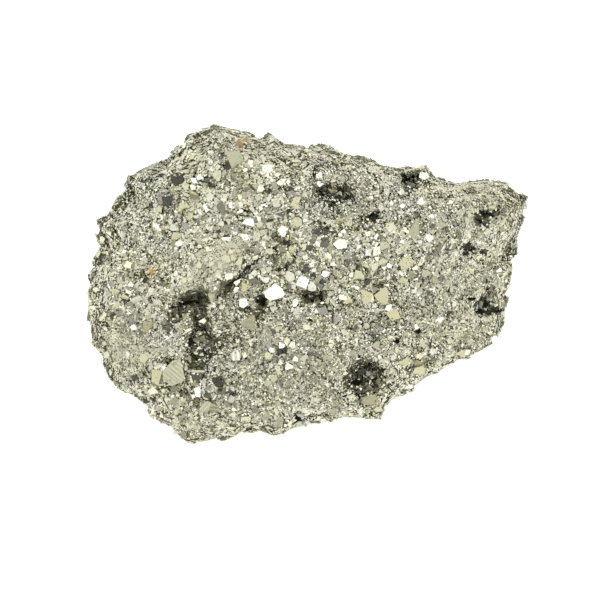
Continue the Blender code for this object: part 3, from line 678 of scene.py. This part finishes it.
def scattered_outline(crystals, index, kind, draw):
    """A scattered crystal's outline, as its neighbours leave it (mm)."""
    width = crystals.widths[index]
    spread = OUTLINE_SHARE[kind] * width
    low, high = OUTLINE_CORNERS
    long, broad = spread * draw.uniform(*OUTLINE_LENGTHS), spread * draw.uniform(*OUTLINE_BREADTHS)
    outline = ring(long, broad, math.tau * draw.random(), int(draw.integers(low, high + 1)), 1.0,
                   draw)
    # Neighbours further off than this are taken to leave it alone.
    reach = 1.3 * width if kind == "fine" else 0.75 * width + LARGE_WIDTHS[1]
    return shared(outline, width, crystals.neighbours(index, reach), SEAM[kind])


def grow(crystals, kind, names, facings, heights, draw, material, firm=()):
    """Make every crystal of one kind; the firm ones keep the outlines given for them."""
    count = len(crystals.points)
    slopes = crystals.slopes(facings)
    extras = (draw.random(count) < SECOND_FACE[kind]).astype(int)
    extras += (draw.random(count) < THIRD_FACE) * extras
    extras[:len(firm)] = draw.random(len(firm)) < HAND_SECOND_FACE
    order = np.argsort(crystals.points[:, 0], kind="stable")
    share = -(-count // len(names))
    for number, name in enumerate(names):
        heap = Heap()
        for index in order[number * share:(number + 1) * share].tolist():
            width = crystals.widths[index]
            if index < len(firm):
                outline, starts = firm[index], HAND_FACE_START
            else:
                outline = scattered_outline(crystals, index, kind, draw)
                starts = SECOND_FACE_START
            if len(outline) > 2:
                planes = roof(slopes[index].tolist(), heights[index], width, extras[index],
                              starts, draw)
                heap.add(*crystal(outline, planes, TIP_DEPTH * width), index)
        heap.build(name, crystals, material)


def rim(normals):
    """How near to the rim of the lump, as the broad face's viewer sees it: from 0 to 1."""
    return smooth(1.3 - np.abs(normals @ OUT) / RIM_BREADTH)


def hollow_looks(points, front, behind, draw):
    """Shade painted on crystals in the hollows, with some tarnish, at some points; and which are
    sparks.
    """
    count = len(points)
    wander = HOLLOW_WANDER * cloud(points, "hollow outlines")
    hollow = front * strength(HOLLOWS, *face_places(points), HOLLOW_EDGE, wander)
    pockets = smooth(9.0 * cloud(points, "weathered pockets") - 2.9)
    hollow += TARNISH["pockets"] * behind * pockets
    sparks = (draw.random(count) < SPARK_SHARE) & (hollow > SPARK_PLACE)
    kept = 1.0 - HOLLOW_SPREAD * draw.random(count) ** 2
    return hollow * np.where(sparks, SPARK_DARKNESS, kept), sparks


def looks_at(crystals, draw):
    """Set how scattered crystals look from where they are; returns which are sparks in hollows."""
    points, looks = crystals.points, crystals.looks
    count = len(points)
    across, up = face_places(points)
    outward = crystals.normals @ OUT
    front, behind = smooth(0.5 + 2.0 * outward), smooth(-2.0 * outward)
    edge = rim(crystals.normals)
    hollow, sparks = hollow_looks(points, front, behind, draw)
    darker = front * strength(DARKER, across, up, DARKER_EDGE)
    tarnish_and_painted_shade = TARNISH["all"] + darker + TARNISH["few"] * draw.random(count) ** 9
    tarnish_and_painted_shade += TARNISH["patches"] * cloud(points, "tarnish_and_painted_shade")
    tarnish_and_painted_shade += TARNISH["back"] * behind * smooth(3.0 * cloud(points, "weathered patches"))
    # The painted shade of the hollows goes in here together with the tarnish.
    looks["tarnish_and_painted_shade"] = np.maximum(np.maximum(tarnish_and_painted_shade, hollow), 0.0)
    powder = front * strength(POWDERY, across, up, POWDERY_EDGE)
    powder = np.maximum(powder * draw.uniform(0.6, 1.0, count), RIM_POWDER * edge)
    looks["powder"] = powder * (1.0 - np.minimum(hollow, 1.0))
    tint = TINT["middle"] + TINT["spread"] * draw.normal(size=count)
    tint += TINT["patches"] * cloud(points, "tint")
    tint += TINT["powder"] * looks["powder"] + TINT["darker"] * darker
    looks["tint"] = np.clip(tint, LEAST_TINT, 1.0)
    dullness = draw.random(count) ** 1.5 + looks["powder"] + RIM_DULLNESS * edge
    looks["dullness"] = np.clip(dullness, 0.0, 1.0)
    crystals.calm = darker / max(zone[5] for zone in DARKER.values())
    return sparks


def ridges(corners, turn, pitch):
    """The strips of a striated face: the outline of each, and which way it leans."""
    cosine, sine = math.cos(math.radians(turn)), math.sin(math.radians(turn))
    along = [cosine * x + sine * y for x, y in corners]
    count = max(2, round((max(along) - min(along)) / pitch))
    for number in range(count):
        low = min(along) + (max(along) - min(along)) * number / count
        high = min(along) + (max(along) - min(along)) * (number + 1) / count
        strip = clipped(clipped(corners, cosine, sine, high), -cosine, -sine, -low)
        yield strip, RIDGE_LEAN if number % 2 else -RIDGE_LEAN


def single_faces(solid, draw):
    """Each crystal with one large face: its look, point, normal, outline and facing."""
    for look, places in CRYSTALS.items():
        tilt, bearing, tilt_spread, bearing_spread = LOOKS[look][:4]
        for across, up, width, height, *unusual in places:
            turn, corner_count = (*unusual, *USUAL_TURN_AND_CORNERS[len(unusual):])
            place, normal = solid.under(across, up)
            outline = ring(width, height, math.radians(turn), corner_count, HAND_UNEVENNESS, draw)
            facing = leaning(tilt + draw.uniform(-1, 1) * tilt_spread,
                             bearing + draw.uniform(-1, 1) * bearing_spread)
            yield look, place, unit(HAND_FOLLOW * normal + OUT), outline, facing


def striated_faces(solid):
    """Each ridge of the striated faces, as if it were a crystal; a face's ridges share a plane."""
    for look, turn, pitch, corners in STRIATED.values():
        tilt, bearing = LOOKS[look][:2]
        facing = leaning(tilt, bearing)
        strips = list(ridges(corners, turn, pitch))
        middles = [np.mean(strip, axis=0) for strip, _lean in strips]
        places = [solid.under(*middle)[0] for middle in middles]
        height = max((place - FACE_MIDDLE) @ facing for place in places)
        for (strip, lean), (across, up), place in zip(strips, middles, places):
            rise = height - (place - FACE_MIDDLE) @ facing
            outline = [(x - across, y - up) for x, y in strip]
            away = unit(facing + math.radians(lean) * leaning(90.0, turn))
            yield look, place + rise / (facing @ OUT) * OUT, OUT, outline, away


def hand_placed(solid, draw):
    """The crystals drawn one by one, then their outlines, looks and facings."""
    rows = [*single_faces(solid, draw), *striated_faces(solid)]
    names, points, normals, outlines, facings = zip(*rows)
    widths = [0.5 * np.ptp(np.array(outline), axis=0).sum() for outline in outlines]
    crystals = Crystals(np.array(points), np.array(normals), np.array(widths),
                        np.tile(ACROSS, (len(rows), 1)))
    changes = draw.uniform(-1.0, 1.0, (len(rows), len(LOOK_SPREAD))) * LOOK_SPREAD
    looks = np.maximum(np.array([LOOKS[name][4:] for name in names]) + changes, 0.0)
    return crystals, outlines, looks, facings


def scattered_facings(crystals, lean, sparks, draw):
    """Which way scattered crystals look: near their normals, and a few towards the light."""
    normals = crystals.normals
    count = len(normals)
    spread = lean * (1.0 - RIM_LEAN * rim(normals))
    spread *= 1.0 - POWDER_CALM * crystals.looks["powder"]
    spread *= 1.0 - DARKER_CALM * crystals.calm
    facings = unit(normals + spread[:, None] * draw.normal(size=(count, 3)))
    glint = unit(leaning(*GLINT) + GLINT_SPREAD * draw.normal(size=(count, 3)))
    bright = (draw.random(count) < GLINT_SHARE) & (normals @ OUT > GLINT_FACING)
    bright |= sparks & (normals @ OUT > SPARK_FACING)
    return np.where(bright[:, None], glint, facings)


def heights_of(crystals, proud, draw):
    """How far scattered crystals stand proud of the solid (mm), less on the rim."""
    heights = draw.uniform(*proud, len(crystals.points))
    return heights * (1.0 - RIM_HEIGHT * rim(crystals.normals))


def coarseness(points, normals):
    """How many middle-sized crystals there are at places, from 0 to 1."""
    across, up = face_places(points)
    front = smooth(2.0 * (normals @ OUT))
    zones = strength(COARSE_ZONES, across, up, COARSE_EDGE)
    elsewhere = smooth(0.35 + 1.6 * cloud(points, "coarseness"))
    return front * zones + (1.0 - front) * elsewhere


def covered(points, crystals, outlines, margin):
    """Which places lie under a listed crystal, or within a margin (mm) of its outline."""
    under = np.zeros(len(points), bool)
    for index, outline in enumerate(outlines):
        step = (points - crystals.points[index]) / MM
        x, y = step @ crystals.first[index], step @ crystals.second[index]
        inside = np.abs(step @ crystals.normals[index]) < COVER_DEPTH
        for (start_x, start_y), (end_x, end_y) in zip(outline[-1:] + outline[:-1], outline):
            run_x, run_y = end_x - start_x, end_y - start_y
            left = run_x * (y - start_y) - run_y * (x - start_x)
            inside &= left > -margin * math.hypot(run_x, run_y)
        under |= inside
    return under


def middle_places(solid, placed, firm, draw):
    """Where middle-sized crystals stand: points, normals, widths, and which are large ones."""
    points, normals = solid.scatter(MIDDLE_TRIES, solid.areas, draw)
    low, high = MIDDLE_WIDTHS
    coarse = coarseness(points, normals)
    broad = MIDDLE_BREADTH + (1.0 - MIDDLE_BREADTH) * coarse
    broad *= 1.0 - RIM_NARROWING * rim(normals)
    widths = low + (high - low) * draw.random(MIDDLE_TRIES) ** MIDDLE_SKEW * broad
    large = (draw.random(MIDDLE_TRIES) < LARGE_SHARE) & (normals @ OUT < LARGE_AWAY)
    widths = np.where(large, draw.uniform(*LARGE_WIDTHS, MIDDLE_TRIES), widths)
    wanted = draw.random(MIDDLE_TRIES) < MIDDLE_SHARE + (1.0 - MIDDLE_SHARE) * coarse
    wanted &= draw.random(MIDDLE_TRIES) > RIM_FINENESS * rim(normals)
    wanted |= large
    wanted &= ~covered(points, placed, firm, HAND_MARGIN * widths)
    room = Room(2.0 * ROOM_SHARE * MIDDLE_SPACING * LARGE_WIDTHS[1])
    large_first = np.argsort(~large, kind="stable")
    kept = [index for index in large_first[wanted[large_first]].tolist()
            if room.claim(tuple(points[index]), MIDDLE_SPACING * widths[index])]
    return points[kept], normals[kept], widths[kept], large[kept]


def make_larger(solid, material, draw):
    """The listed and the middle-sized crystals; returns them and the firm outlines."""
    placed, firm, hand_looks, hand_facings = hand_placed(solid, draw)
    hand = len(firm)
    points, normals, widths, large = middle_places(solid, placed, firm, draw)
    points = np.concatenate((placed.points, points))
    helper = draw.normal(size=points.shape)
    helper[:hand] = ACROSS
    crystals = Crystals(points, np.concatenate((placed.normals, normals)),
                        np.concatenate((placed.widths, widths)), helper)
    sparks = looks_at(crystals, draw)
    kinds = np.array([LOOKS[look][4:] for look in LARGE_LOOKS])
    picked = kinds[draw.integers(len(kinds), size=len(points))]
    picked[:hand] = hand_looks
    chosen = np.concatenate((np.ones(hand, bool), large))
    for column, key in enumerate(LOOK_KEYS):
        crystals.looks[key][chosen] = picked[chosen, column]
    facings = scattered_facings(crystals, MIDDLE_LEAN, sparks, draw)
    facings[:hand] = hand_facings
    heights = heights_of(crystals, MIDDLE_PROUD, draw)
    heights[:hand] = draw.uniform(*HAND_PROUD, hand)
    grow(crystals, "middle", ["large_crystals"], facings, heights, draw, material, firm)
    return crystals, firm


def shaded(points, widths, larger, hand):
    """Which places lie under a middle-sized crystal."""
    under = np.zeros(len(points), bool)
    tree = tree_of(points)
    for index in range(hand, len(larger.points)):
        reach = SHADE[0] * larger.widths[index] + SHADE[1] * widths.max()
        for _place, other, distance in tree.find_range(larger.points[index], reach * MM):
            reach = SHADE[0] * larger.widths[index] + SHADE[1] * widths[other]
            under[other] |= distance < reach * MM
    return under


def fine_widths(normals):
    """How wide fine crystals usually are (mm) where the solid has some normals."""
    front = smooth(0.8 + 1.5 * (normals @ OUT))
    return FINE_BACK + (FINE_FRONT - FINE_BACK) * front


def make_fine(solid, larger, firm, material, draw):
    """The fine crystals that fill all that is left."""
    weights = solid.areas / fine_widths(solid.normals) ** 2
    points, normals = solid.scatter(FINE_TRIES, weights, draw)
    variety = FINE_PATCHES * cloud(points, "fine widths")
    widths = fine_widths(normals) * (1.0 + variety + draw.uniform(*FINE_VARIETY, FINE_TRIES))
    free = ~covered(points, larger, firm, 0.0)
    free &= ~shaded(points, widths, larger, len(firm))
    room = Room(2.0 * ROOM_SHARE * widths.max())
    kept = [index for index in np.flatnonzero(free).tolist()
            if room.claim(tuple(points[index]), widths[index])]
    helper = draw.normal(size=(len(kept), 3))
    crystals = Crystals(points[kept], normals[kept], FINE_BREADTH * widths[kept], helper)
    sparks = looks_at(crystals, draw)
    facings = scattered_facings(crystals, FINE_LEAN, sparks, draw)
    heights = heights_of(crystals, FINE_PROUD, draw)
    names = ["fine_crystals_" + str(number + 1) for number in range(FINE_PIECES)]
    grow(crystals, "fine", names, facings, heights, draw, material)


# ---- Materials ----

class Nodes:
    """Short calls for building a node tree."""

    def __init__(self, tree):
        self.tree = tree

    def add(self, kind, inputs=(), **settings):
        """A node with its settings, and its inputs linked or set."""
        node = self.tree.nodes.new(kind)
        for name, value in settings.items():
            setattr(node, name, value)
        for name, value in dict(inputs).items():
            if isinstance(value, bpy.types.NodeSocket):
                self.tree.links.new(value, node.inputs[name])
            else:
                node.inputs[name].default_value = value
        return node

    def math(self, operation, *values, clamp=False):
        """A Math node's result."""
        return self.add("ShaderNodeMath", dict(enumerate(values)), operation=operation,
                        use_clamp=clamp).outputs[0]

    def mix(self, factor, first, second):
        """A mix of two colours."""
        node = self.add("ShaderNodeMix", {0: factor, 6: first, 7: second}, data_type="RGBA")
        return node.outputs[2]

    def attribute(self, name):
        """A number kept on the mesh."""
        return self.add("ShaderNodeAttribute", attribute_name=name).outputs["Fac"]

    def place(self):
        """Where the surface is, in the piece's own frame."""
        return self.add("ShaderNodeTexCoord").outputs["Object"]

    def speckle(self, place, scale, detail):
        """Noise on the surface, from 0 to 1."""
        return self.add("ShaderNodeTexNoise", {"Vector": place, "Scale": scale,
                                               "Detail": detail}).outputs["Fac"]

    def link(self, output, node, name):
        """Lead an output to one of a node's inputs."""
        self.tree.links.new(output, node.inputs[name])


def new_material(name):
    """A new material, its nodes and its shader."""
    material = bpy.data.materials.new(name)
    material.use_nodes = True
    return material, Nodes(material.node_tree), material.node_tree.nodes["Principled BSDF"]


# Brassy metal from its greyest to its yellowest, and what covers it.
TINTS = ((0.0, (0.58, 0.58, 0.53)), (0.25, (0.60, 0.60, 0.51)), (0.5, (0.61, 0.60, 0.47)),
         (0.75, (0.59, 0.58, 0.41)), (1.0, (0.57, 0.555, 0.33)))
# Tarnish and painted shade both darken the metal towards this colour.
TARNISH_AND_SHADE_COLOUR = (0.026, 0.025, 0.016)
POWDER_COLOUR = (0.66, 0.64, 0.49)
RUST_COLOUR = (0.60, 0.27, 0.03)
# The fineness of the mottling, the specks and the pinholes in the film of tarnish (per metre), how
# much the first two add to it from its start, and how the third stand out.
MOTTLE, SPECKS, PINHOLES = 1800.0, 4600.0, 2700.0
FILM = {"start": -0.50, "mottle": 0.45, "specks": 0.55}
PINHOLE = {"From Min": 0.66, "From Max": 0.72, "To Max": 0.75}
ROUGHNESS = {"start": 0.10, "dullness": 0.30, "mottle": 0.12}
BUMP = {"Strength": 0.25, "Distance": 0.06 * MM}
# The ground between the crystals, in painted shade: its darkest, its lightest, how fine it is (per
# metre).
SHADED_GROUND_COLOURS = ((0.08, 0.078, 0.05), (0.24, 0.235, 0.16))
GROUND_GRAIN = 3500.0


def opaque(colour):
    """A colour with its alpha."""
    return (*colour, 1.0)


def pyrite_material(name):
    """Brassy metal whose colour and gloss change from crystal to crystal, with tarnish and painted
    shade.
    """
    material, nodes, shader = new_material(name)
    tint, tarnish_and_painted_shade, dullness, rust, powder = (nodes.attribute(key) for key in LOOK_KEYS)
    ramp = nodes.add("ShaderNodeValToRGB", {"Fac": tint})
    while len(ramp.color_ramp.elements) < len(TINTS):
        ramp.color_ramp.elements.new(0.5)
    for element, (position, colour) in zip(ramp.color_ramp.elements, TINTS):
        element.position = position
        element.color = opaque(colour)
    place = nodes.place()
    mottle = nodes.speckle(place, MOTTLE, 2.0)
    specks = nodes.speckle(place, SPECKS, 1.0)
    film = nodes.math("MULTIPLY_ADD", mottle, FILM["mottle"], FILM["start"])
    film = nodes.math("MULTIPLY_ADD", specks, FILM["specks"], film)
    pinholes = nodes.add("ShaderNodeMapRange",
                         {"Value": nodes.speckle(place, PINHOLES, 1.0), **PINHOLE})
    film = nodes.math("ADD", film, pinholes.outputs["Result"])
    darkness = nodes.math("ADD", tarnish_and_painted_shade, film, clamp=True)
    # Tarnish and painted shade darken the metal here.
    tarnished_and_shaded = nodes.mix(darkness, ramp.outputs["Color"], opaque(TARNISH_AND_SHADE_COLOUR))
    dusty = nodes.mix(powder, tarnished_and_shaded, opaque(POWDER_COLOUR))
    rusted = nodes.mix(rust, dusty, opaque(RUST_COLOUR))
    nodes.link(rusted, shader, "Base Color")
    metal = nodes.math("SUBTRACT", 1.0, nodes.math("MAXIMUM", rust, powder), clamp=True)
    nodes.link(metal, shader, "Metallic")
    roughness = nodes.math("MULTIPLY_ADD", dullness, ROUGHNESS["dullness"], ROUGHNESS["start"])
    roughness = nodes.math("MULTIPLY_ADD", mottle, ROUGHNESS["mottle"], roughness)
    nodes.link(roughness, shader, "Roughness")
    bump = nodes.add("ShaderNodeBump", {"Height": mottle, **BUMP})
    nodes.link(bump.outputs["Normal"], shader, "Normal")
    return material


def shaded_ground_material():
    """The ground between the crystals, dark with painted shade."""
    material, nodes, shader = new_material("pyrite ground in painted shade")
    grain = nodes.add("ShaderNodeTexVoronoi", {"Vector": nodes.place(), "Scale": GROUND_GRAIN})
    shade = nodes.mix(grain.outputs["Distance"], *map(opaque, SHADED_GROUND_COLOURS))
    nodes.link(shade, shader, "Base Color")
    shader.inputs["Metallic"].default_value = 1.0
    shader.inputs["Roughness"].default_value = 0.5
    return material


# ---- Pieces and studio ----

def make_ground():
    """The solid's own form a little inside its surface, in painted shade, between and under the
    crystals.
    """
    mesh = solid_mesh()
    mesh.normal_update()
    for vert in mesh.verts:
        vert.co -= GROUND_DEPTH * MM * vert.normal
        vert.co.z = max(vert.co.z, 0.0)
    data = bpy.data.meshes.new("ground")
    mesh.to_mesh(data)
    mesh.free()
    data.shade_flat()
    data.materials.append(shaded_ground_material())
    add_piece("ground", data)


def make_floor():
    """A plain pale floor that glows a little, so that it shows as white."""
    bpy.ops.mesh.primitive_plane_add(size=FLOOR_SIZE, location=(0.0, 0.0, 0.0))
    floor = bpy.context.object
    floor.name = "floor"
    material, _nodes, shader = new_material("floor")
    shader.inputs["Base Color"].default_value = opaque([FLOOR_GREY] * 3)
    shader.inputs["Roughness"].default_value = 0.9
    shader.inputs["Emission Color"].default_value = (1.0, 1.0, 1.0, 1.0)
    shader.inputs["Emission Strength"].default_value = FLOOR_GLOW
    floor.data.materials.append(material)


# The studio: bearing and angle off the broad face's normal, half width and soft edge (degrees),
# and the light from there; the light from elsewhere, and the floor's size, grey and glow.
STUDIO = {
    "camera side of the tent": (0, 0, 34, 34, (1.13, 1.115, 1.04)),
    "room behind the camera": (0, 0, 9, 14, (0.25, 0.245, 0.23)),
    "main softbox": (60, 36, 13, 7, (2.55, 2.57, 2.70)),
    "left softbox": (150, 50, 11, 10, (2.0, 2.01, 2.08)),
    "right softbox": (335, 58, 12, 10, (1.9, 1.91, 1.97)),
    "dark gap": (205, 38, 9, 14, (0.37, 0.365, 0.335)),
    "dark gap, right": (10, 36, 8, 12, (0.37, 0.365, 0.335)),
}
ROOM_LIGHT = (1.40, 1.40, 1.38)
FLOOR_SIZE = 6.0
FLOOR_GREY = 0.9
FLOOR_GLOW = 0.6


def make_world():
    """Soft studio light from all round, with softboxes and a dim room behind the camera."""
    world = bpy.data.worlds.new("studio")
    bpy.context.scene.world = world
    world.use_nodes = True
    nodes = Nodes(world.node_tree)
    towards = nodes.add("ShaderNodeTexCoord").outputs["Generated"]
    colour = nodes.add("ShaderNodeRGB").outputs[0]
    colour.default_value = opaque(ROOM_LIGHT)
    for bearing, angle, width, edge, light in STUDIO.values():
        along = nodes.add("ShaderNodeVectorMath", {0: towards, 1: leaning(angle, bearing)},
                          operation="DOT_PRODUCT").outputs["Value"]
        share = nodes.add("ShaderNodeMapRange", {
            "Value": along,
            "From Min": math.cos(math.radians(width + edge)),
            "From Max": math.cos(math.radians(width)),
        }, interpolation_type="SMOOTHSTEP").outputs["Result"]
        colour = nodes.mix(share, colour, opaque(light))
    nodes.link(colour, nodes.tree.nodes["Background"], "Color")


def make_camera():
    """The camera, square to the broad face."""
    data = bpy.data.cameras.new("camera")
    data.sensor_width = SENSOR_WIDTH
    data.lens = SENSOR_WIDTH * CAMERA_DISTANCE / PICTURE_WIDTH
    data.clip_start = 0.01
    camera = bpy.data.objects.new("camera", data)
    bpy.context.scene.collection.objects.link(camera)
    camera.location = VIEW_POINT
    camera.rotation_euler = Vector(OUT).to_track_quat("Z", "Y").to_euler()
    bpy.context.scene.camera = camera


def main():
    """Make the specimen's pieces and the studio."""
    draw = np.random.default_rng(SEED)
    solid = Solid()
    material = pyrite_material("pyrite crystals")
    make_ground()
    larger, firm = make_larger(solid, material, draw)
    make_fine(solid, larger, firm, material, draw)
    make_floor()
    make_world()
    make_camera()
    bpy.context.scene.view_settings.view_transform = "Standard"


main()
